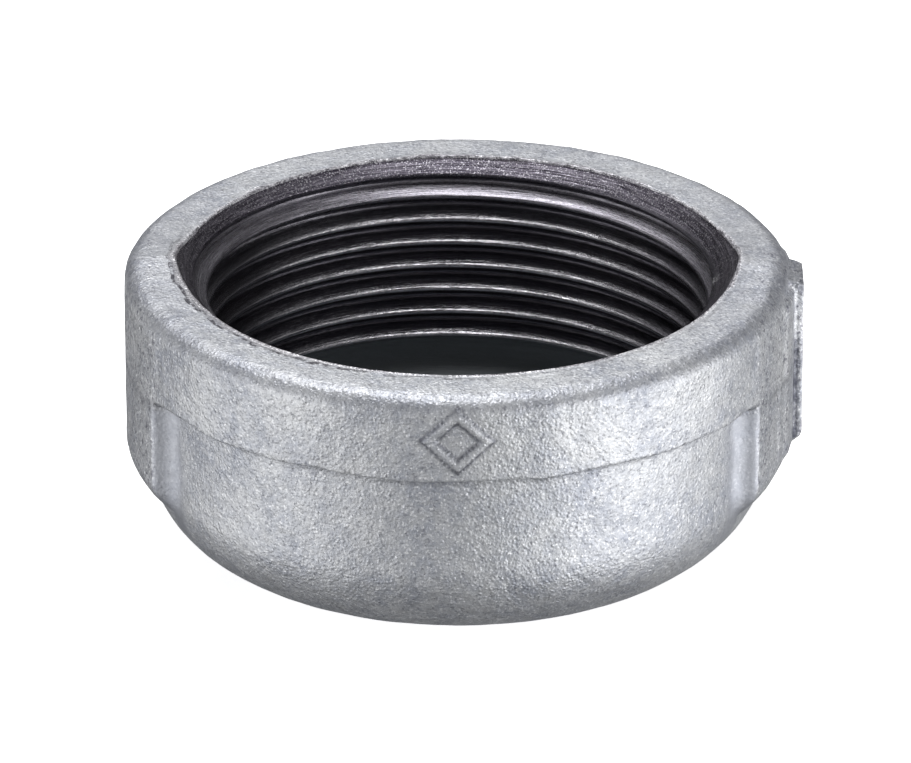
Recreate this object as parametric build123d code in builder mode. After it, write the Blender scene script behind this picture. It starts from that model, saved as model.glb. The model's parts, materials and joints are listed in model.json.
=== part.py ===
from build123d import *
import os
from math import cos, radians, sin, tan

# Screwed pipe cap, size 1-1/2, malleable iron, made as one casting and then bored and tapped.
# Millimetres. The thread axis is Z, the mouth opens towards +Z, and the origin is the centre of
# the closed end's flat face. The gate lug is at +X and the front of the casting faces -Y.

# Internal pipe thread, size 1-1/2: 11 threads per inch, 55 degree form, right-hand, parallel.
thread_pitch = 25.4 / 11
thread_major_d = 47.803
thread_minor_d = 44.845
flank_angle = 27.5
crest_flat = 0.6
groove_start_z = 7.33  # the groove's middle line starts at +X at this height, in the open relief
groove_turns = 9  # enough to run out past the mouth

# Outside of the casting.
overall_height = 26.8
body_d = 56.4
band_d = 59.6
band_height = 9.4
rim_radius = 1.8
step_radius = 0.6
base_flat_d = 36.0
base_corner_height = 9.0

# Inside: mouth chamfer, thread, plain relief below it and a rounded floor.
mouth_d = 50.8
chamfer_half_angle = 45.0
relief_d = 48.2
relief_top_z = 8.4
relief_cone_height = 0.9
floor_thickness = 4.3
floor_radius = 2.5

# Raised grip pads on the left and right, a touch prouder than the band.
pad_half_angle = 25.0
pad_proud = 0.1
pad_foot_r = 25.4
pad_foot_z = 4.6
pad_shoulder_z = 8.6
pad_shoulder_radius = 2.5

# Where the casting was fed, at +X: a low pad and the stub of the gate.
gate_pad_half_angle = 17.0
gate_pad_proud = 0.3
gate_pad_foot_z = 9.0
gate_pad_top_z = 18.6
gate_width = 5.0
gate_proud = 1.2
gate_foot_z = 9.6
gate_top_gap = 0.6

# Plain raised lozenge on the front of the band, a generic casting mark.
mark_half_width = 3.2
mark_half_height = 3.0
mark_line = 0.85
mark_proud = 0.3
mark_z = 22.0

body_r = body_d / 2
band_r = band_d / 2
base_flat_r = base_flat_d / 2
mouth_r = mouth_d / 2
thread_major_r = thread_major_d / 2
thread_minor_r = thread_minor_d / 2
relief_r = relief_d / 2
gate_pad_r = band_r + gate_pad_proud
band_bottom_z = overall_height - band_height
pad_top_z = band_bottom_z + 2 * step_radius
chamfer_depth = (mouth_r - thread_minor_r) / tan(radians(chamfer_half_angle))
inside_body_r = body_r - 4.0  # raised features start this deep in the wall, to join it all over
cut_overrun = 1.0  # the bore's cutting section runs this far past the mouth
groove_overrun = 0.5  # the groove's cutting section reaches this far inside the tapping bore


def radial_plane(angle):
    """Plane through Z whose first axis points outwards at this angle from +X, second axis up."""
    outwards = (cos(radians(angle)), sin(radians(angle)), 0)
    normal = (sin(radians(angle)), -cos(radians(angle)), 0)
    return Plane(origin=(0, 0, 0), x_dir=outwards, z_dir=normal)


# The mark: a lozenge outline pushed out through the band and trimmed to follow its curve.
with BuildPart() as casting_mark:
    with BuildSketch(Plane.XZ.offset(inside_body_r)):
        with Locations((0, mark_z)):
            Polygon(
                (-mark_half_width, 0),
                (0, -mark_half_height),
                (mark_half_width, 0),
                (0, mark_half_height),
            )
            offset(amount=-mark_line, kind=Kind.INTERSECTION, mode=Mode.SUBTRACT)
    extrude(amount=band_r)
    Cylinder(
        radius=band_r + mark_proud,
        height=overall_height,
        align=(Align.CENTER, Align.CENTER, Align.MIN),
        mode=Mode.INTERSECT,
    )


with BuildPart() as cap_body:
    # Cast cup: flat closed end, large rounded corner, plain body and thicker band at the mouth.
    with BuildSketch(Plane.XZ) as casting_section:
        with BuildLine():
            Line((0, 0), (base_flat_r, 0))
            EllipticalCenterArc(
                (base_flat_r, base_corner_height),
                body_r - base_flat_r,
                base_corner_height,
                start_angle=270,
                arc_size=90,
            )
            Polyline(
                (body_r, base_corner_height),
                (body_r, band_bottom_z),
                (band_r, band_bottom_z + step_radius),
                (band_r, overall_height),
                (0, overall_height),
                (0, 0),
            )
        make_face()
        corners = casting_section.vertices()
        step_corners = corners.filter_by_position(
            Axis.Y, band_bottom_z, band_bottom_z + step_radius
        )
        fillet(step_corners, step_radius)
        rim_corner = corners.sort_by(Axis.X).filter_by_position(
            Axis.Y, overall_height, overall_height
        )[-1]
        fillet(rim_corner, rim_radius)
    revolve(axis=Axis.Z)

    # Raised pads: wide ones on both sides, and a lower, slightly prouder one behind the gate.
    for middle in (0, 180):
        with BuildSketch(radial_plane(middle - pad_half_angle)) as pad_section:
            Polygon(
                (inside_body_r, pad_foot_z),
                (pad_foot_r, pad_foot_z),
                (band_r + pad_proud, pad_shoulder_z),
                (band_r + pad_proud, pad_top_z - pad_proud),
                (band_r, pad_top_z),
                (inside_body_r, pad_top_z),
                align=None,
            )
            shoulder = pad_section.vertices().filter_by_position(
                Axis.Y, pad_shoulder_z, pad_shoulder_z
            )
            fillet(shoulder, pad_shoulder_radius)
        revolve(axis=Axis.Z, revolution_arc=2 * pad_half_angle)
    with BuildSketch(radial_plane(-gate_pad_half_angle)):
        Polygon(
            (inside_body_r, gate_pad_foot_z),
            (band_r, gate_pad_foot_z),
            (gate_pad_r, gate_pad_foot_z + gate_pad_proud),
            (gate_pad_r, gate_pad_top_z - gate_pad_proud),
            (band_r, gate_pad_top_z),
            (inside_body_r, gate_pad_top_z),
            align=None,
        )
    revolve(axis=Axis.Z, revolution_arc=2 * gate_pad_half_angle)

    # Gate stub, from just under the rim down to the gate pad.
    with BuildSketch(Plane.XZ):
        Polygon(
            (inside_body_r, gate_foot_z),
            (band_r, gate_foot_z),
            (band_r + gate_proud, gate_foot_z + gate_proud),
            (band_r + gate_proud, overall_height - gate_top_gap - gate_proud / 2),
            (band_r + gate_proud / 2, overall_height - gate_top_gap),
            (inside_body_r, overall_height - gate_top_gap),
            align=None,
        )
    extrude(amount=gate_width / 2, both=True)

    add(casting_mark.part)

    # Bored out: chamfer at the mouth, tapping bore, relief below the thread, rounded floor.
    with BuildSketch(Plane.XZ) as bore_section:
        Polygon(
            (0, floor_thickness),
            (relief_r, floor_thickness),
            (relief_r, relief_top_z - relief_cone_height),
            (thread_minor_r, relief_top_z),
            (thread_minor_r, overall_height - chamfer_depth),
            (mouth_r, overall_height),
            (mouth_r, overall_height + cut_overrun),
            (0, overall_height + cut_overrun),
            align=None,
        )
        floor_corner = bore_section.vertices().filter_by_position(
            Axis.Y, floor_thickness, floor_thickness
        ).sort_by(Axis.X)[-1]
        fillet(floor_corner, floor_radius)
    revolve(axis=Axis.Z, mode=Mode.SUBTRACT)

    # Tapped: a helical groove of trapezoidal section, from the open relief out past the chamfer.
    with BuildLine() as thread_line:
        Helix(
            pitch=thread_pitch,
            height=groove_turns * thread_pitch,
            radius=thread_minor_r,
            center=(0, 0, groove_start_z),
        )
    with BuildSketch(Plane.XZ) as groove_section:
        half_at_crest = (thread_pitch - crest_flat) / 2
        thread_depth = thread_major_r - thread_minor_r
        half_at_root = half_at_crest - thread_depth * tan(radians(flank_angle))
        half_inside = half_at_crest + groove_overrun * tan(radians(flank_angle))
        Polygon(
            (thread_minor_r - groove_overrun, groove_start_z - half_inside),
            (thread_major_r, groove_start_z - half_at_root),
            (thread_major_r, groove_start_z + half_at_root),
            (thread_minor_r - groove_overrun, groove_start_z + half_inside),
            align=None,
        )
    sweep(path=thread_line.line, is_frenet=True, mode=Mode.SUBTRACT)

os.makedirs("parts", exist_ok=True)
cap_body.part.label = "cap_body"
export_step(cap_body.part, "parts/cap_body.step")
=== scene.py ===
"""Screwed pipe cap, size 1-1/2, hot-dip galvanised malleable iron: its visual model and studio.

The cap is one closed mesh, built column by column round the thread axis. Every column runs from
the middle of the closed end, up the outside, over the rim, down the threaded bore and across the
floor. The bore's rows follow the helix, so that each thread edge is an edge loop of the mesh.
"""

import json
from math import cos, pi, radians, sin, tan

import bpy
import numpy as np
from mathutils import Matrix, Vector


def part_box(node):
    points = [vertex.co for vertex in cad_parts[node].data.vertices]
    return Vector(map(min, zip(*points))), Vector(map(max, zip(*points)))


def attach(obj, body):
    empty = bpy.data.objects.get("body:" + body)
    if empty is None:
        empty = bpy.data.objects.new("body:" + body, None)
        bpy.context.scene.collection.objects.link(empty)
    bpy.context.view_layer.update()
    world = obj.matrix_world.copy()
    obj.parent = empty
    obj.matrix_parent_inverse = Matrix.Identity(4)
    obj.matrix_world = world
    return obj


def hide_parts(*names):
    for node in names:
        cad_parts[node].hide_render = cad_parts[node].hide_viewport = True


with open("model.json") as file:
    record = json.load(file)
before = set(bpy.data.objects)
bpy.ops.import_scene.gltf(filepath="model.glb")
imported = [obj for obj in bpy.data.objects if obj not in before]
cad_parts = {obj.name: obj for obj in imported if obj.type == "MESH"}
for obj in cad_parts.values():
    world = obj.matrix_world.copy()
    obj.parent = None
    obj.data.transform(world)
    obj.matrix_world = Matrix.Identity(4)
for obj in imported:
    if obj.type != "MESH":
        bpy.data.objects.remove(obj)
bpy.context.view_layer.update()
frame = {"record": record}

# The cap's sizes, in millimetres and degrees. What the CAD model says is read from it.
MM = 0.001
node_low, node_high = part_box("cap_body")
mounts = {mount["name"]: mount for mount in frame["record"]["mounts"]}
height = node_high.z / MM
band_r = node_high.y / MM
pad_r = -node_low.x / MM
gate_x = node_high.x / MM
mark_r = -node_low.y / MM
thread_minor_r = mounts["pipe_thread"]["dims"]["r_mm"]

# Outside.
body_r = 28.2
base_flat_r = 18.6
base_corner_height = 9.0
band_bottom_z = height - 9.4
step_height = 0.85
step_wander = 0.13  # the step under the band was cast this unevenly
step_wander_reach = 3.0
rim_radius = 1.8
rim_fall = 0.75  # the rim is this much lower at the front and back than at the parting line
rim_fall_reach = 8.0  # most of that fall is over this far from the parting line
rim_ridge = 0.5  # half width of the soft ridge on the parting line itself
skin = 0.04  # the cast skin's hollows, on average, below the CAD surface
skin_lumps = 0.9  # how much that depth varies, as a share of it
skin_more_on_rim = 1.2

# Grip pads, gate pad, gate strip and the gate's stub.
pad_half_angles = {0: 26.6, 180: 24.6}
pad_foot_r = 25.4
pad_foot_z = 4.6
pad_shoulder_z = 8.6
pad_shoulder_blend = 1.5
pad_fillet_angle = 5.0  # the hollow fillet from the body up to a pad's edge
pad_fillet_power = 2.5
pad_edge_blend = 0.3  # softness of the edge itself, as a share of the pad's height
gate_pad_r = band_r + 0.25
gate_pad_half_angle = 17.0
gate_pad_foot_z = 9.0
gate_pad_top_z = 18.3
strip_r = band_r + 0.5
strip_half_angle = 13.6
gate_half_width = 2.5
gate_half_angle = np.degrees(gate_half_width / band_r)
gate_foot_z = 9.6
gate_top_z = height - 1.5

# Lozenge on the front of the band.
mark_half_width = 3.2
mark_half_height = 3.0
mark_line = 0.85
mark_soft_inside = 0.22  # the line's sides slope from this far inside its edge
mark_soft_outside = 0.12  # to this far outside it
mark_z = 22.0
mark_angle = 270.0

# Inside.
mouth_r = 25.4
mouth_edge_radius = 0.22
chamfer_slope = tan(radians(45.0))
thread_pitch = 25.4 / 11
thread_depth = 1.479
thread_crest_z = 22.19  # a crest's middle line at +X
crest_half = 0.15
flank_slope = tan(radians(27.5))
thread_blend = 0.12  # softness of the crests, the roots and the chamfer's lower edge
first_turn_z = (21.3, 21.9)  # the thread's first turn starts between these heights
thread_start = (22.9, -0.4, 24.3)  # where the thread runs out into the chamfer, at a torn burr whose glints are painted
relief_r = 24.1
relief_cone_z = 7.5
relief_top_z = 8.4
relief_blend = 0.05
bore_low_z = relief_cone_z - 0.6  # the helical rows of the bore end here, in the relief
floor_z = 4.3
floor_radius = 2.5

# The mesh: how many rows a stretch has, and how far apart rows and columns are elsewhere.
base_corner_rows = 20
body_rows = 17
step_rows = 12
rim_corner_rows = 12
rim_flat_rows = 9
relief_rows = 3
floor_corner_rows = 9
column_spacing = 1.5
band_row_spacing = 0.22
floor_ring_radii = (19.0, 16.0, 13.0, 10.0, 7.0, 4.0, 1.5)
base_ring_radii = (2.5, 6.0, 9.5, 12.5, 15.0, base_flat_r)
crest_stations = (0.0, 0.12, 0.2, 0.26, 0.32, 0.4, 0.58, 0.82, 1.02)  # rows beside a crest's middle
snap = 0.04  # a helix row this close to the mouth's or the relief's ring joins it


# ---------------------------------------------------------------- shape helpers


def smooth_step(low, high, value):
    t = np.clip((value - low) / (high - low), 0.0, 1.0)
    return t * t * (3 - 2 * t)


def smooth_fall(low, high, value):
    return 1 - smooth_step(low, high, value)


def soft_max(a, b, blend):
    h = np.clip(0.5 + 0.5 * (a - b) / blend, 0.0, 1.0)
    return b * (1 - h) + a * h + blend * h * (1 - h)


def soft_min(a, b, blend):
    return -soft_max(-a, -b, blend)


def angle_between(a, b):
    """Degrees between these two angles, the short way round."""
    return np.abs((a - b + 180) % 360 - 180)


def lumps(points, wavelength, waves, seed):
    """Smooth noise from about -1 to 1 at these points: a seeded sum of plane waves."""
    random = np.random.default_rng(seed)
    directions = random.normal(size=(waves, 3))
    directions /= np.linalg.norm(directions, axis=1)[:, None]
    lengths = wavelength * random.uniform(0.6, 1.6, waves)
    phases = random.uniform(0, 2 * pi, waves)
    total = np.zeros(points.shape[:-1])
    for direction, length, phase in zip(directions, lengths, phases):
        total += np.sin(points @ direction * (2 * pi / length) + phase)
    return total / np.sqrt(waves)


# ---------------------------------------------------------------- columns round the axis


def column_angles():
    """Angles from +X, in degrees, close together where the outside has an upright edge."""
    margin = 1.8
    clear = 0.4  # an ordinary column this near to a fine stretch is left out
    mark_reach = np.degrees(mark_half_width / band_r) + margin
    fine = [(mark_angle, mark_reach, 0.3)]  # middle, reach and spacing of each fine stretch
    for middle, half_angle in pad_half_angles.items():
        for side in (-1, 1):
            fine.append((middle + side * (half_angle + margin), 3.0, 0.25))
    for side in (-1, 1):
        fine.append((side * gate_pad_half_angle, 1.2, 0.3))
        fine.append((side * (strip_half_angle - 0.5), 1.8, 0.4))
        fine.append((side * (gate_half_angle + 0.5), 1.3, 0.16))
    angles = np.arange(0.0, 360.0, column_spacing)
    for middle, reach, spacing in fine:
        steps = np.arange(-reach, reach + spacing / 2, spacing)
        kept = angles[angle_between(angles, middle) > reach + clear]
        angles = np.concatenate([kept, (middle + steps) % 360])
    return np.radians(np.sort(angles))


theta = column_angles()
columns = len(theta)
cosine = np.cos(theta)
sine = np.sin(theta)
helix_rise = thread_pitch * theta / (2 * pi)


def angle_from(middle):
    """Degrees between each column and this angle."""
    return angle_between(np.degrees(theta), middle)


# ---------------------------------------------------------------- outside


def outside_rows():
    """Radius and height of each row of the plain cup, from the closed end to the rim's flat."""
    rows = [(r, 0.0) for r in base_ring_radii]
    for turn in np.linspace(0, pi / 2, base_corner_rows)[1:]:
        corner_r = base_flat_r + (body_r - base_flat_r) * sin(turn)
        rows.append((corner_r, base_corner_height * (1 - cos(turn))))
    for z in np.linspace(base_corner_height, band_bottom_z, body_rows)[1:-1]:
        rows.append((body_r, z))
    for part in np.linspace(0, 1, step_rows):
        ease = part * part * (3 - 2 * part)
        rows.append((body_r + (band_r - body_r) * ease, band_bottom_z + step_height * part))
    first_band_row = band_bottom_z + step_height + band_row_spacing
    for z in np.arange(first_band_row, height - rim_radius, band_row_spacing):
        rows.append((band_r, z))
    for turn in np.linspace(0, pi / 2, rim_corner_rows):
        rim_r = band_r - rim_radius * (1 - cos(turn))
        rows.append((rim_r, height - rim_radius * (1 - sin(turn))))
    return np.array(rows)


def rim_drop(sine):
    """How much lower the rim is than at the parting line, for this sine of the angle from it."""
    from_parting = np.hypot(band_r * sine, rim_ridge) - rim_ridge
    return rim_fall * np.tanh(from_parting / rim_fall_reach)


def step_lumps(r, z):
    """How far each point near the step under the band is moved up or down."""
    circle = np.stack([band_r * cosine, band_r * sine, 0 * sine], axis=1)
    wander = step_wander * lumps(circle, wavelength=7.0, waves=16, seed=5)
    near_step = np.clip(1 - np.abs(z - band_bottom_z) / step_wander_reach, 0, 1)
    return wander * near_step * (r > body_r - 0.1)


def pad_lift(r, z, middle, half_angle):
    """How far a grip pad stands out: it leans out from its foot and then stands upright."""
    inside_edge = (half_angle - angle_from(middle)) / pad_fillet_angle
    fillet = np.clip(inside_edge + 1, 0, 2) ** pad_fillet_power
    share = np.clip(soft_min(fillet, np.ones_like(fillet), pad_edge_blend), 0, 1)
    lean_part = (z - pad_foot_z) / (pad_shoulder_z - pad_foot_z)
    lean = pad_foot_r + (pad_r - pad_foot_r) * lean_part
    face = soft_min(lean, np.full_like(z, pad_r), pad_shoulder_blend)
    return np.clip(face - r, 0, None) * share


def near_gate(half_angle, inside, outside):
    """1 round +X, falling from this far inside the half angle to this far outside it."""
    return smooth_fall(half_angle - inside, half_angle + outside, angle_from(0))


def gate_pad_share(z):
    """1 on the low pad behind the gate."""
    share = near_gate(gate_pad_half_angle, inside=0.9, outside=0.6)
    share = share * smooth_step(gate_pad_foot_z, gate_pad_foot_z + 1.4, z)
    return share * smooth_fall(gate_pad_top_z - 0.5, gate_pad_top_z, z)


def gate_strip_share(z):
    """1 on the strip between the gate pad and the gate's stub, all the way up."""
    share = near_gate(strip_half_angle, inside=2.0, outside=1.0)
    return share * smooth_step(gate_pad_foot_z + 0.4, gate_foot_z + 0.6, z)


def gate_stub_share(z):
    """1 on the stub of the gate, which is broken off flat at gate_x."""
    share = near_gate(gate_half_angle, inside=0.25, outside=0.25)
    share = share * smooth_step(gate_foot_z - 0.6, gate_foot_z + 0.9, z)
    return share * smooth_fall(gate_top_z - 0.4, gate_top_z + 0.1, z)


def from_mark_line(angle, z):
    """Distance from the middle of the lozenge's outline, at this angle in degrees and height."""
    across = np.radians(angle - mark_angle) * band_r
    slant = mark_half_width * mark_half_height / np.hypot(mark_half_width, mark_half_height)
    edge = (np.abs(across) / mark_half_width + np.abs(z - mark_z) / mark_half_height - 1) * slant
    return np.abs(edge + mark_line / 2)


def mark_share(z):
    """1 on the lozenge's outline."""
    from_line = from_mark_line(np.degrees(theta), z)
    half_line = mark_line / 2
    return smooth_fall(half_line - mark_soft_inside, half_line + mark_soft_outside, from_line)


def raised(r, face_r, share):
    """The radius with a share of the way to a raised face added, where that face is outside it."""
    return np.maximum(r, r + (face_r - r) * share)


def outside():
    """Radius and height, one row of the mesh per row, with every cast feature."""
    plain = outside_rows()
    z = np.repeat(plain[:, 1:], columns, axis=1)
    r = np.repeat(plain[:, :1], columns, axis=1)
    z -= smooth_step(band_bottom_z + 2, height, z) * rim_drop(sine)
    z += step_lumps(r, z)
    upright = (r > pad_foot_r - 0.5) & (z > pad_foot_z - 0.5)
    rim_start_z = height - rim_radius
    below_rim = smooth_fall(rim_start_z - 0.6, rim_start_z - 0.1, z)
    for middle, half_angle in pad_half_angles.items():
        r = r + pad_lift(r, z, middle, half_angle) * upright * below_rim
    r = raised(r, gate_pad_r, gate_pad_share(z) * upright)
    r = raised(r, strip_r, gate_strip_share(z) * below_rim * upright)
    r = raised(r, gate_x / np.maximum(cosine, 0.5), gate_stub_share(z) * upright)
    r += (mark_r - band_r) * mark_share(z)
    return r, z


# ---------------------------------------------------------------- bore


def above_crest(z, rise):
    """Height above the nearest crest's middle line, negative below it."""
    half_pitch = thread_pitch / 2
    return (z - thread_crest_z - rise + half_pitch) % thread_pitch - half_pitch


def thread_radius(z):
    """Radius of the tapped bore at height z of each column."""
    depth = (np.abs(above_crest(z, helix_rise)) - crest_half) / flank_slope
    depth = soft_max(depth, np.zeros_like(depth), thread_blend)
    return thread_minor_r + soft_min(depth, np.full_like(depth, thread_depth), thread_blend)


def bore_radius(z):
    """Radius of the bore at height z of each column: chamfer, thread and relief."""
    chamfer = mouth_r - (height - z) * chamfer_slope
    relief_part = (relief_top_z - z) / (relief_top_z - relief_cone_z)
    relief = thread_minor_r + (relief_r - thread_minor_r) * relief_part
    relief = np.minimum(relief, relief_r)
    return soft_max(soft_max(thread_radius(z), chamfer, thread_blend), relief, relief_blend)


# ---------------------------------------------------------------- traits of the surface
# Shares from 0 to 1 at every point. The materials read them as attributes of the mesh.


def fading(distance, reach, strength):
    """This strength at no distance, and nothing from reach on."""
    return strength - strength * np.clip(distance / reach, 0, 1)


def crest_highlight_share(points):
    """1 along each thread crest's upper edge, where a highlight is painted, less down the flank."""
    angle = np.arctan2(points[:, 1], points[:, 0]) % (2 * pi)
    up = above_crest(points[:, 2], thread_pitch * angle / (2 * pi))
    first_turn = smooth_step(*first_turn_z, points[:, 2])
    # The painted highlight covers the whole flank of the first turn.
    fade_from = 0.2 + 0.7 * first_turn  # the whole flank of the first turn is bright
    fade_to = 1.0 + 0.4 * first_turn
    on_flank = smooth_step(-0.2, 0.05, up) * smooth_fall(fade_from, fade_to, up)
    # The painted highlight fades towards the left and right, where the top light doesn't reach the
    # flanks.
    to_side = np.abs(np.cos(angle)) - 0.2 * first_turn
    return on_flank * (1 - 0.8 * smooth_step(0.55, 0.88, to_side))


def recess_shade(points):
    """1 where shade is painted into the outside's corners: round the mark, under the step, by the
    stub.
    """
    radius = np.hypot(points[:, 0], points[:, 1])
    angle = np.degrees(np.arctan2(points[:, 1], points[:, 0])) % 360
    from_outline = np.abs(from_mark_line(angle, points[:, 2]) - mark_line / 2 - 0.05)
    by_mark = fading(from_outline, reach=0.32, strength=0.95)
    from_step = np.abs(points[:, 2] - band_bottom_z - 0.1)
    by_step = fading(from_step, reach=0.75, strength=0.42)
    from_stub = np.abs(angle_between(angle, 0) - gate_half_angle - 0.25)
    by_stub = np.minimum(fading(from_stub, reach=0.6, strength=1.5), 1)
    by_stub = by_stub * smooth_fall(gate_top_z - 7, gate_top_z - 4, points[:, 2])
    by_stub = by_stub * (points[:, 2] > gate_foot_z)
    by_stub = by_stub * smooth_fall(strip_r + 0.3, strip_r + 0.6, radius)
    return np.maximum(np.maximum(by_mark, by_step), by_stub) * (radius > body_r - 0.4)


def rim_corner_shade(points):
    """1 along the rim's rounded outer corner, where shade is painted over the top lamp's highlight.
    """
    radius = np.hypot(points[:, 0], points[:, 1])
    rim_z = height - rim_drop(points[:, 1] / np.maximum(radius, 1.0))
    inside = band_r + rim_z - radius - points[:, 2]
    return smooth_fall(0.65 * rim_radius, 1.0 * rim_radius, inside)


def pooled_with_shade(points):
    """1 in the hollow fillets beside the pads, where the zinc ran together and set smooth and where
    shade is painted over their reflection of the side light.
    """
    angle = np.degrees(np.arctan2(points[:, 1], points[:, 0]))
    share = np.zeros(len(points))
    for middle, half_angle in pad_half_angles.items():
        past_edge = angle_between(angle, middle) - half_angle
        beside = smooth_step(-0.6, 0.2, past_edge) * smooth_fall(3.5, 6.5, past_edge)
        share = np.maximum(share, beside)
    below_band = smooth_fall(band_bottom_z - 0.5, band_bottom_z + 0.5, points[:, 2])
    return share * below_band * smooth_step(pad_foot_z - 1, pad_foot_z + 1, points[:, 2])


# ---------------------------------------------------------------- mesh

ZINC, IRON = 0, 1


class Surface:
    """Points in the order they are made, and the faces between neighbouring rows."""

    def __init__(self):
        self.points = []
        self.faces = []
        self.materials = []
        self.count = 0

    def add_row(self, r, z):
        """A ring of points, one per column, and their indices."""
        r = np.broadcast_to(r, (columns,))
        z = np.broadcast_to(z, (columns,))
        self.points.append(np.stack([r * cosine, r * sine, z], axis=1))
        start = self.count
        self.count += columns
        return np.arange(start, start + columns)

    def add_point(self, z):
        """A point on the axis, as a ring of one repeated index."""
        self.points.append(np.array([[0.0, 0.0, z]]))
        self.count += 1
        return np.full(columns, self.count - 1)

    def join(self, lower, upper, material, wrap_lower=None, wrap_upper=None):
        """Faces between two rings of indices. The wrap rings close the last column."""
        next_lower = np.roll(lower, -1)
        next_upper = np.roll(upper, -1)
        if wrap_lower is not None:
            next_lower[-1] = wrap_lower[0]
            next_upper[-1] = wrap_upper[0]
        for quad in zip(lower, next_lower, next_upper, upper):
            corners = list(dict.fromkeys(int(index) for index in quad))
            if len(corners) > 2:
                self.faces.append(corners)
                self.materials.append(material)

    def extend(self, previous, r, z, material):
        """A new ring, joined to the previous one."""
        ring = self.add_row(r, z)
        self.join(previous, ring, material)
        return ring


def add_outside(surface, outer_r, outer_z):
    """Closed end and outside, up to where the rim's flat starts. Returns the last ring."""
    ring = surface.add_point(0.0)
    for row_r, row_z in zip(outer_r, outer_z):
        ring = surface.extend(ring, row_r, row_z, ZINC)
    return ring


def add_rim(surface, ring, flat_outer_r, rim_top, edge_r):
    """The rim's flat and then the small rounded edge at the mouth. Returns the last ring."""
    edge_z = rim_top - mouth_edge_radius
    flat_inner_r = edge_r + mouth_edge_radius * 1.1
    for share in np.linspace(0, 1, rim_flat_rows)[1:]:
        row_r = flat_outer_r + (flat_inner_r - flat_outer_r) * share
        ring = surface.extend(ring, row_r, rim_top, ZINC)
    for turn in (pi / 8, pi / 4, 3 * pi / 8):
        row_r = flat_inner_r - (flat_inner_r - edge_r) * sin(turn)
        ring = surface.extend(ring, row_r, edge_z + mouth_edge_radius * cos(turn), ZINC)
    return ring


def helix_offsets():
    """Height at +X of every helical row, with one line of the array for each turn."""
    beside = np.array(crest_stations)
    stations = np.concatenate([-beside[:0:-1], beside, [thread_pitch / 2]])
    turns = np.arange(np.ceil((height - bore_low_z) / thread_pitch) + 2) - 1
    below = thread_pitch * np.ceil((thread_crest_z - bore_low_z) / thread_pitch)
    first_crest = thread_crest_z - below
    return first_crest + thread_pitch * turns[:, None] + stations[None, :]


def add_bore(surface, ring, edge_r, edge_z):
    """Rows along the helix, cut off at the mouth and the relief. Returns the lowest ring."""
    offsets = helix_offsets()
    per_turn = offsets.shape[1]
    bottom_r = bore_radius(np.full(columns, bore_low_z))
    bottom_ring = surface.add_row(bottom_r, bore_low_z)
    top_ring = surface.extend(ring, edge_r, edge_z, ZINC)
    rings = [bottom_ring] * per_turn
    for offset in offsets.ravel():
        row_z = offset + helix_rise
        row = surface.add_row(bore_radius(row_z), row_z)
        row = np.where(row_z > edge_z - snap, top_ring, row)
        row = np.where(row_z < bore_low_z + snap, bottom_ring, row)
        rings.append(row)
    rings += [top_ring] * per_turn
    for index in range(len(rings) - per_turn - 1):
        surface.join(
            rings[index + 1],
            rings[index],
            IRON,
            wrap_lower=rings[index + 1 + per_turn],
            wrap_upper=rings[index + per_turn],
        )
    return bottom_ring


def add_floor(surface, ring):
    """Relief wall, rounded floor corner and floor."""
    for z in np.linspace(bore_low_z, floor_z + floor_radius, relief_rows)[1:]:
        ring = surface.extend(ring, relief_r, z, IRON)
    for turn in np.linspace(0, pi / 2, floor_corner_rows)[1:]:
        row_r = relief_r - floor_radius * (1 - cos(turn))
        ring = surface.extend(ring, row_r, floor_z + floor_radius * (1 - sin(turn)), IRON)
    for r in floor_ring_radii:
        ring = surface.extend(ring, r, floor_z, IRON)
    surface.join(ring, surface.add_point(floor_z), IRON)


def cast_skin(points):
    """Presses the cast outside in by a few hundredths, in lumps of 1 to 6 millimetres."""
    radius = np.hypot(points[:, 0], points[:, 1])
    outwards = points * np.array([1.0, 1.0, 0.0]) / np.maximum(radius, 1e-6)[:, None]
    upwards = np.zeros_like(points)
    upwards[:, 2] = 1.0
    on_rim = smooth_step(height - 1.6, height - 0.4, points[:, 2]) * (radius > mouth_r - 1.2)
    on_base = smooth_fall(base_flat_r, base_flat_r + 6, radius)
    is_outside = (radius > relief_r + 0.5) | (points[:, 2] < floor_z - 1.3)
    broad = lumps(points, wavelength=5.0, waves=24, seed=3)
    small = lumps(points, wavelength=2.2, waves=32, seed=7)
    lump = 0.55 * broad + 0.45 * small
    depth = skin * (1 + skin_lumps * np.clip(lump, -1.1, 1.1))
    depth = depth * (1 + skin_more_on_rim * on_rim)
    inward = -outwards * (1 - on_rim)[:, None] - upwards * on_rim[:, None]
    inward = inward * (1 - on_base)[:, None] + upwards * on_base[:, None]
    return points + inward * (depth * is_outside)[:, None]


def cap_surface():
    """The whole cap, closed end to floor."""
    surface = Surface()
    outer_r, outer_z = outside()
    rim_top = outer_z[-1]
    edge_z = rim_top - mouth_edge_radius
    edge_r = bore_radius(edge_z)
    ring = add_outside(surface, outer_r, outer_z)
    ring = add_rim(surface, ring, outer_r[-1], rim_top, edge_r)
    ring = add_bore(surface, ring, edge_r, edge_z)
    add_floor(surface, ring)
    return surface


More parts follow.
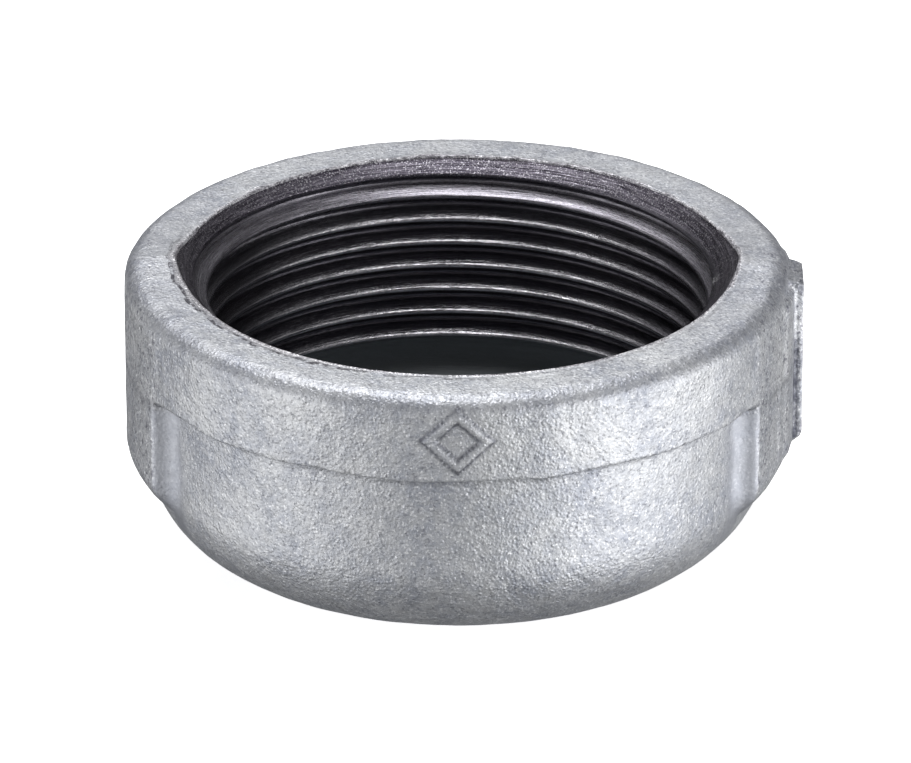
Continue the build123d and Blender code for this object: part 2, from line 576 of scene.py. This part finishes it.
def make_piece(name, surface):
    """A Blender object of this surface, in metres, without the points that no face uses."""
    mesh = bpy.data.meshes.new(name)
    points = cast_skin(np.concatenate(surface.points))
    used = np.unique(np.concatenate([np.array(face) for face in surface.faces]))
    renumber = np.zeros(len(points), int)
    renumber[used] = np.arange(len(used))
    faces = [[int(renumber[index]) for index in face] for face in surface.faces]
    mesh.from_pydata((points[used] * MM).tolist(), [], faces)
    mesh.polygons.foreach_set("material_index", surface.materials)
    mesh.polygons.foreach_set("use_smooth", [True] * len(faces))
    for trait in (crest_highlight_share, recess_shade, rim_corner_shade, pooled_with_shade):
        layer = mesh.attributes.new(trait.__name__, "FLOAT", "POINT")
        layer.data.foreach_set("value", trait(points[used]))
    mesh.update()
    piece = bpy.data.objects.new(name, mesh)
    bpy.context.scene.collection.objects.link(piece)
    return piece


casting = make_piece("cap_casting", cap_surface())
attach(casting, "root")
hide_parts("cap_body")


# ---------------------------------------------------------------- materials
# Colours are linear. Noise scales are per metre, so 1000 is a wave of about a millimetre.

zinc_shade = (0.365, 0.385, 0.438)
zinc_light = (0.585, 0.598, 0.622)
zinc_mottle = (0.65, 0.655, 0.665)
zinc_spark = (0.90, 0.91, 0.93)
zinc_pit = (0.15, 0.155, 0.19)
zinc_hole = (0.14, 0.14, 0.18)
zinc_flake = (0.95, 0.96, 0.98)
# Painted shade for the pad fillets.
fillet_shade_colour = (0.37, 0.385, 0.43)
# Painted shade for the top face at the sides and back.
top_shade_colour = (0.28, 0.29, 0.34)
# Painted shade for the rim's outer corner.
corner_shade_colour = (0.20, 0.21, 0.25)
# Painted shade for the outside's corners.
recess_shade_colour = (0.09, 0.095, 0.12)
scraped_dark = (0.07, 0.065, 0.08)
scraped_light = (0.55, 0.54, 0.58)
lip_colour = (0.20, 0.19, 0.205)
crack_colour = (0.045, 0.042, 0.055)
iron_dark = (0.11, 0.105, 0.125)
# Painted highlights on the thread crests.
crest_highlight_colour = (0.93, 0.91, 0.95)
first_turn_highlight_colour = (0.50, 0.48, 0.53)
iron_worn_dark = (0.05, 0.044, 0.06)
iron_worn_light = (0.28, 0.26, 0.31)
iron_speck = (0.76, 0.74, 0.80)
relief_colour = (0.17, 0.185, 0.20)
# Painted glints.
glint_colour = (0.95, 0.94, 0.97)

top_face_z = (height - 1.6, height - 0.9)  # the top face's grain sets in over these heights
rim_zone_z = (height - 2.8, height - 2.6)  # the marks at the mouth's edge are above these
chamfer_zone_z = (24.3, 24.7)  # the chamfer's wear sets in over these heights


class Nodes:
    """Short calls for building one material's node tree."""

    def __init__(self, owner):
        owner.use_nodes = True
        self.owner = owner
        self.tree = owner.node_tree
        place = self.add("ShaderNodeTexCoord")
        if isinstance(owner, bpy.types.World):
            self.shader = self.tree.nodes["Background"]
            self.place = place.outputs["Generated"]
        else:
            self.shader = self.tree.nodes["Principled BSDF"]
            self.place = place.outputs["Object"]
        axes = self.add("ShaderNodeSeparateXYZ")
        self.link(self.place, axes.inputs[0])
        self.x, self.y, self.z = axes.outputs
        squares = self.math("ADD", self.times(self.x, self.x), self.times(self.y, self.y))
        self.radius = self.math("SQRT", squares)

    def add(self, kind, **settings):
        node = self.tree.nodes.new(kind)
        for name, value in settings.items():
            setattr(node, name, value)
        return node

    def link(self, output, target):
        self.tree.links.new(output, target)

    def set(self, value, target):
        """Puts a number on a socket or links an output to it."""
        if isinstance(value, (int, float)):
            target.default_value = value
        else:
            self.link(value, target)

    def attribute(self, trait):
        """The share that this trait's function wrote to the mesh."""
        return self.add("ShaderNodeAttribute", attribute_name=trait.__name__).outputs["Fac"]

    def math(self, operation, a, b=None):
        node = self.add("ShaderNodeMath", operation=operation)
        self.set(a, node.inputs[0])
        if b is not None:
            self.set(b, node.inputs[1])
        return node.outputs[0]

    def times(self, a, b):
        return self.math("MULTIPLY", a, b)

    def spread(self, value, low, high, to_low=0.0, to_high=1.0):
        """Turns low to high into to_low to to_high, and holds those outside."""
        node = self.add("ShaderNodeMapRange")
        self.link(value, node.inputs["Value"])
        node.inputs["From Min"].default_value = low
        node.inputs["From Max"].default_value = high
        node.inputs["To Min"].default_value = to_low
        node.inputs["To Max"].default_value = to_high
        return node.outputs["Result"]

    def spread_mm(self, length, low, high, to_low=0.0, to_high=1.0):
        """The same, for a length in metres with its limits in millimetres."""
        return self.spread(length, low * MM, high * MM, to_low, to_high)

    def noise(self, scale, detail=3.0, roughness=0.6, place=None):
        node = self.add("ShaderNodeTexNoise")
        node.inputs["Scale"].default_value = scale
        node.inputs["Detail"].default_value = detail
        node.inputs["Roughness"].default_value = roughness
        self.link(place or self.place, node.inputs["Vector"])
        return node.outputs["Fac"]

    def patches(self, scale, low, high, detail=3.0, roughness=0.6, place=None):
        """0 where the noise is under low and 1 where it is over high."""
        return self.spread(self.noise(scale, detail, roughness, place), low, high)

    def pimples(self, scale):
        """Small round bumps, one in every cell."""
        node = self.add("ShaderNodeTexVoronoi")
        node.inputs["Scale"].default_value = scale
        self.link(self.place, node.inputs["Vector"])
        return self.spread(node.outputs["Distance"], 0.0, 0.55, 1.0, 0.0)

    def turned(self, along, across, depth):
        """Coordinates for marks that run round the axis: coarse along them and fine across."""
        node = self.add("ShaderNodeCombineXYZ")
        self.link(self.times(self.x, along), node.inputs[0])
        self.link(self.times(self.y, along), node.inputs[1])
        self.link(self.times(depth, across), node.inputs[2])
        return node.outputs[0]

    def mix(self, share, a, b):
        """Colour a where the share is 0 and b where it is 1."""
        node = self.add("ShaderNodeMix", data_type="RGBA")
        self.set(share, node.inputs[0])
        for socket, value in ((node.inputs[6], a), (node.inputs[7], b)):
            if isinstance(value, tuple):
                socket.default_value = (*value, 1.0)
            else:
                self.link(value, socket)
        return node.outputs[2]

    def paint(self, base, colour, mask, strength):
        """The base with a colour laid over it where the mask is 1."""
        return self.mix(self.times(mask, strength), base, colour)

    def distance(self, point):
        """Distance from a point given in millimetres."""
        node = self.add("ShaderNodeVectorMath", operation="DISTANCE")
        self.link(self.place, node.inputs[0])
        node.inputs[1].default_value = Vector(point) * MM
        return node.outputs["Value"]

    def bump(self, relief, strength, depth, normal=None):
        """Bumps this many millimetres deep, on top of the bumps already in the normal."""
        node = self.add("ShaderNodeBump")
        self.set(strength, node.inputs["Strength"])
        node.inputs["Distance"].default_value = depth * MM
        self.link(relief, node.inputs["Height"])
        if normal is not None:
            self.link(normal, node.inputs["Normal"])
        return node.outputs["Normal"]


def zinc_grain(n):
    """Cloudy light grey with shade painted below the band, and a mottle, sparkling grain and pits.
    """
    clouds = n.patches(170, 0.36, 0.64, detail=4.0, roughness=0.62)
    # Painted shade: the clouds lean to the darker grey below the band.
    unshaded_above_step = n.spread_mm(n.z, band_bottom_z - 0.9, band_bottom_z + 0.6, 0.76, 1.0)
    base = n.mix(n.times(clouds, unshaded_above_step), zinc_shade, zinc_light)
    base = n.paint(base, zinc_mottle, n.patches(900, 0.35, 0.65), 0.48)
    base = n.paint(base, zinc_spark, n.patches(3900, 0.55, 0.70, detail=2.0), 0.8)
    return n.paint(base, zinc_pit, n.patches(3300, 0.55, 0.70, detail=2.0), 0.6)


def coarse_spots(n, base, on_top):
    """Larger holes and flakes on the top face and at the far left and right."""
    to_side = n.math("ABSOLUTE", n.x)
    on_sides = n.spread_mm(to_side, body_r - 2.0, body_r - 1.2, 0.0, 1.7)
    coarse = n.math("MAXIMUM", on_top, on_sides)
    holes = n.times(n.patches(1900, 0.54, 0.64, detail=4.0, roughness=0.7), coarse)
    flakes = n.times(n.patches(2700, 0.56, 0.66, detail=4.0, roughness=0.7), coarse)
    base = n.paint(base, zinc_hole, holes, 0.5)
    return n.paint(base, zinc_flake, flakes, 0.55)


def painted_shade(n, base, on_top):
    """Painted shade in the pad fillets, on the top towards the sides and back, along the rim's
    outer corner and in the outside's corners.
    """
    # Painted shade in the hollow fillets beside the pads, over their reflection of the side light.
    base = n.paint(base, fillet_shade_colour, n.attribute(pooled_with_shade), 0.7)
    # Painted shade on the top face towards the sides and the back.
    at_sides = n.spread_mm(n.math("ABSOLUTE", n.x), 18.0, 25.0, 0.0, 0.28)
    at_back = n.spread_mm(n.y, 12.0, 24.0, 0.0, 0.2)
    base = n.paint(base, top_shade_colour, n.math("MAXIMUM", at_sides, at_back), on_top)
    # Painted shade along the rim's outer corner, over the top lamp's highlight there.
    base = n.paint(base, corner_shade_colour, n.attribute(rim_corner_shade), 0.3)
    # Painted shade in the outside's corners: round the mark, under the step and by the stub.
    recess_shade_breakup = n.spread(n.noise(1300), 0.35, 0.6, 0.6, 1.0)
    return n.paint(base, recess_shade_colour, n.attribute(recess_shade), recess_shade_breakup)


def past_mouth_edge(n):
    """How far outside the mouth's ragged edge a point of the rim is, negative inside it."""
    turned = n.turned(190.0, 5200.0, n.radius)
    streaks = n.noise(1.0, detail=3.0, roughness=0.7, place=turned)
    streaks = n.spread(streaks, 0.3, 0.7, -0.55, 0.55)
    wander = n.spread(n.noise(260, detail=2.0), 0.3, 0.7, -0.6, 0.6)
    ragged = n.times(n.math("ADD", streaks, wander), 0.34 * MM)
    past_chamfer = n.math("ADD", n.radius, n.math("SUBTRACT", height * MM, n.z))
    return n.math("SUBTRACT", n.math("ADD", past_chamfer, ragged), (mouth_r + 0.12) * MM)


def mouth_edge(n, base):
    """Scraped metal inside the zinc's edge, and beside it a lip, a crack and painted glints."""
    on_rim = n.spread_mm(n.z, *rim_zone_z)
    past_edge = past_mouth_edge(n)
    bare = n.times(n.spread_mm(past_edge, -0.06, 0.06, 1.0, 0.0), on_rim)
    turned = n.turned(1500.0, 6000.0, n.radius)
    scratches = n.patches(1.0, 0.4, 0.65, detail=2.0, roughness=0.7, place=turned)
    base = n.paint(base, n.mix(scratches, scraped_dark, scraped_light), bare, 0.9)

    near_left = n.times(on_rim, n.spread_mm(n.x, -14.0, 6.0, 1.0, 0.25))
    near_left = n.times(near_left, n.spread_mm(n.y, -2.0, 8.0, 1.0, 0.1))
    lip = n.spread_mm(past_edge, 0.45, 0.6, 0.55, 0.0)
    base = n.paint(base, lip_colour, lip, near_left)
    crack_line = n.spread(n.noise(420, detail=2.0), 0.35, 0.65, 0.4 * MM, 0.75 * MM)
    from_crack = n.math("ABSOLUTE", n.math("SUBTRACT", past_edge, crack_line))
    crack = n.times(n.spread_mm(from_crack, 0.1, 0.24, 0.95, 0.0), near_left)
    gaps = n.patches(900, 0.44, 0.54, detail=4.0, roughness=0.75)
    base = n.paint(base, crack_colour, crack, gaps)

    # Painted glints along the mouth's edge.
    at_edge = n.times(on_rim, n.spread_mm(n.math("ABSOLUTE", past_edge), 0.1, 0.3, 0.9, 0.0))
    sparks = n.patches(5200, 0.52, 0.60, detail=3.0, roughness=0.7)
    return n.paint(base, glint_colour, at_edge, sparks)


def zinc_bumps(n):
    """Four sizes of cast grain, calmer where the zinc pooled and towards the right."""
    strength = n.spread(n.attribute(pooled_with_shade), 0.0, 1.0, 1.0, 0.3)
    strength = n.times(strength, n.spread_mm(n.x, 4.0, 18.0, 1.0, 0.7))
    normal = n.bump(n.noise(420), strength, 0.18)
    normal = n.bump(n.noise(1200), strength, 0.08, normal)
    normal = n.bump(n.noise(3800, detail=2.0, roughness=0.55), strength, 0.05, normal)
    return n.bump(n.pimples(2900), strength, 0.04, normal)


def zinc_material():
    """Hot-dip zinc over a cast skin."""
    n = Nodes(bpy.data.materials.new("galvanised_zinc"))
    on_top = n.spread_mm(n.z, *top_face_z)
    base = zinc_grain(n)
    base = coarse_spots(n, base, on_top)
    base = painted_shade(n, base, on_top)
    base = mouth_edge(n, base)
    n.link(base, n.shader.inputs["Base Color"])
    n.shader.inputs["Metallic"].default_value = 0.7
    n.link(n.spread(n.noise(1400), 0.3, 0.7, 0.40, 0.58), n.shader.inputs["Roughness"])
    n.link(zinc_bumps(n), n.shader.inputs["Normal"])
    return n.owner


def iron_material():
    """Bare iron in the bore: dark, oiled and machined, with marks that run round the bore and
    painted highlights along the thread crests.
    """
    n = Nodes(bpy.data.materials.new("machined_iron"))
    across = n.math("ADD", n.z, n.radius)
    wide_rings = n.turned(110.0, 2400.0, across)
    narrow_rings = n.turned(420.0, 7000.0, across)
    broad = n.patches(1.0, 0.36, 0.64, detail=4.0, roughness=0.7, place=wide_rings)
    fine = n.patches(1.0, 0.36, 0.64, detail=3.0, roughness=0.7, place=narrow_rings)
    marks = n.times(broad, fine)
    past_crest = n.math("SUBTRACT", n.radius, thread_minor_r * MM)
    on_chamfer = n.times(n.spread_mm(n.z, *chamfer_zone_z), n.spread_mm(past_crest, 0.5, 0.9))
    in_relief = n.spread_mm(n.z, relief_top_z - 0.1, relief_top_z + 0.6, 1.0, 0.0)
    on_first_turn = n.spread_mm(n.z, *first_turn_z)

    # Painted highlight along the crests, brightest off the first turn.
    painted_crest_light = n.times(n.attribute(crest_highlight_share), n.spread(marks, 0.0, 0.7, 0.3, 1.0))
    broken = n.spread(n.noise(5200, detail=3.0, roughness=0.7), 0.36, 0.56, 0.45, 1.0)
    bright = n.mix(on_first_turn, crest_highlight_colour, first_turn_highlight_colour)
    base = n.paint(iron_dark, bright, painted_crest_light, broken)
    worn = n.mix(marks, iron_worn_dark, iron_worn_light)
    worn = n.paint(worn, iron_speck, n.patches(6000, 0.54, 0.66, detail=3.0, roughness=0.7), 0.75)
    base = n.mix(on_chamfer, base, worn)
    base = n.mix(in_relief, base, relief_colour)
    # Painted glints on the torn burr where the thread starts.
    burr_glints = n.spread_mm(n.distance(thread_start), 0.4, 1.0, 1.0, 0.0)
    base = n.paint(base, glint_colour, burr_glints, n.patches(3600, 0.47, 0.55, detail=3.0, roughness=0.7))
    n.link(base, n.shader.inputs["Base Color"])

    n.link(n.spread(in_relief, 0.0, 1.0, 0.9, 0.1), n.shader.inputs["Metallic"])
    rough = n.spread(in_relief, 0.0, 1.0, 0.19, 0.5)
    rough = n.math("ADD", rough, n.spread(on_chamfer, 0.0, 1.0, 0.0, 0.04))
    rough = n.math("ADD", rough, n.spread(fine, 0.0, 1.0, -0.04, 0.06))
    rough = n.math("ADD", rough, n.times(on_first_turn, 0.08))
    n.link(rough, n.shader.inputs["Roughness"])
    normal = n.bump(broad, 1.0, 0.015)
    normal = n.bump(fine, 1.0, 0.006, normal)
    normal = n.bump(n.noise(3000), 1.0, 0.012, normal)
    n.link(normal, n.shader.inputs["Normal"])
    return n.owner


casting.data.materials.append(zinc_material())
casting.data.materials.append(iron_material())


# ---------------------------------------------------------------- studio

floor_reach = 6.0
floor_glow = 0.75
camera_elevation = radians(24.35)
camera_distance = 0.86
camera_aim = Vector((-0.18, 0.0, 14.3)) * MM
camera_lens = 377.4  # millimetres on a 36 mm sensor, for the photo's nearly parallel uprights
camera_sensor = 36.0
camera_near = 0.05

# The surroundings, by direction: straight up is z = 1 and straight back is y = 1.
darkest_z = -0.75
level_z = 0.0
highest_z = 0.6
back_dimming = (0.1, 0.85, 1.0, 0.2)  # over these y, from full light to a fifth of it

# Azimuth, elevation, inner and outer half angle, all in degrees, and strength.
bright_patches = [
    (-69, -12, 6, 47, 1.72),
    (61, -12, 6, 42, 3.15),
    (180, 35, 5, 24, 1.2),
    (222, 54, 5, 25, 1.9),
    (85, 46, 8, 32, 0.35),
    (140, -24, 10, 35, 0.25),
]


def make_floor():
    """A plain pale floor that neither shades the cap nor shows in it."""
    mesh = bpy.data.meshes.new("studio_floor")
    sides = [(-1, -1), (1, -1), (1, 1), (-1, 1)]
    corners = [(x * floor_reach, y * floor_reach, 0) for x, y in sides]
    mesh.from_pydata(corners, [], [(0, 1, 2, 3)])
    floor = bpy.data.objects.new("studio_floor", mesh)
    bpy.context.scene.collection.objects.link(floor)
    material = bpy.data.materials.new("pale_floor")
    material.use_nodes = True
    shader = material.node_tree.nodes["Principled BSDF"]
    shader.inputs["Base Color"].default_value = (0.9, 0.9, 0.9, 1)
    shader.inputs["Roughness"].default_value = 0.9
    shader.inputs["Specular IOR Level"].default_value = 0.0
    shader.inputs["Emission Color"].default_value = (1, 1, 1, 1)
    shader.inputs["Emission Strength"].default_value = floor_glow
    floor.data.materials.append(material)
    floor.visible_diffuse = False
    floor.visible_glossy = False
    floor.visible_shadow = False


def direction(azimuth, elevation):
    """Unit vector from the cap. Azimuth 0 is the front and 90 the right."""
    a = radians(azimuth)
    e = radians(elevation)
    return Vector((sin(a) * cos(e), -cos(a) * cos(e), sin(e)))


def soft_box(name, azimuth, elevation, distance, width, tall, power):
    """A rectangular light that faces the cap."""
    light = bpy.data.lights.new(name, "AREA")
    light.shape = "RECTANGLE"
    light.size = width
    light.size_y = tall
    light.energy = power
    lamp = bpy.data.objects.new(name, light)
    place = direction(azimuth, elevation)
    lamp.location = place * distance
    lamp.rotation_euler = place.to_track_quat("Z", "Y").to_euler()
    bpy.context.scene.collection.objects.link(lamp)


def make_world(patches, low_light, level_light, high_light):
    """Pale surroundings, darker below and behind, with a number of soft bright patches."""
    world = bpy.data.worlds.new("studio")
    world.use_nodes = True
    n = Nodes(world)
    below = n.spread(n.z, darkest_z, level_z, low_light, level_light)
    above = n.spread(n.z, level_z, highest_z, 0.0, high_light - level_light)
    light = n.times(n.math("ADD", below, above), n.spread(n.y, *back_dimming))
    for azimuth, elevation, inner, outer, strength in patches:
        toward = n.add("ShaderNodeVectorMath", operation="DOT_PRODUCT")
        n.link(n.place, toward.inputs[0])
        toward.inputs[1].default_value = direction(azimuth, elevation)
        far, near = cos(radians(outer)), cos(radians(inner))
        patch = n.spread(toward.outputs["Value"], far, near, 0.0, strength)
        light = n.math("ADD", light, patch)
    n.shader.inputs["Color"].default_value = (1, 1, 1, 1)
    n.link(light, n.shader.inputs["Strength"])
    bpy.context.scene.world = world


def make_camera():
    """The photo's view: level with the front, looking down by the camera's elevation."""
    camera = bpy.data.cameras.new("camera")
    camera.lens = camera_lens
    camera.sensor_width = camera_sensor
    camera.clip_start = camera_near
    holder = bpy.data.objects.new("camera", camera)
    backwards = Vector((0, -cos(camera_elevation), sin(camera_elevation)))
    holder.location = camera_aim + backwards * camera_distance
    holder.rotation_euler = backwards.to_track_quat("Z", "Y").to_euler()
    bpy.context.scene.collection.objects.link(holder)
    bpy.context.scene.camera = holder


make_floor()
soft_box("top", azimuth=225, elevation=85, distance=0.8, width=0.5, tall=0.66, power=5.1)
make_world(bright_patches, low_light=0.03, level_light=0.47, high_light=0.1)
make_camera()
bpy.context.scene.view_settings.view_transform = "Standard"
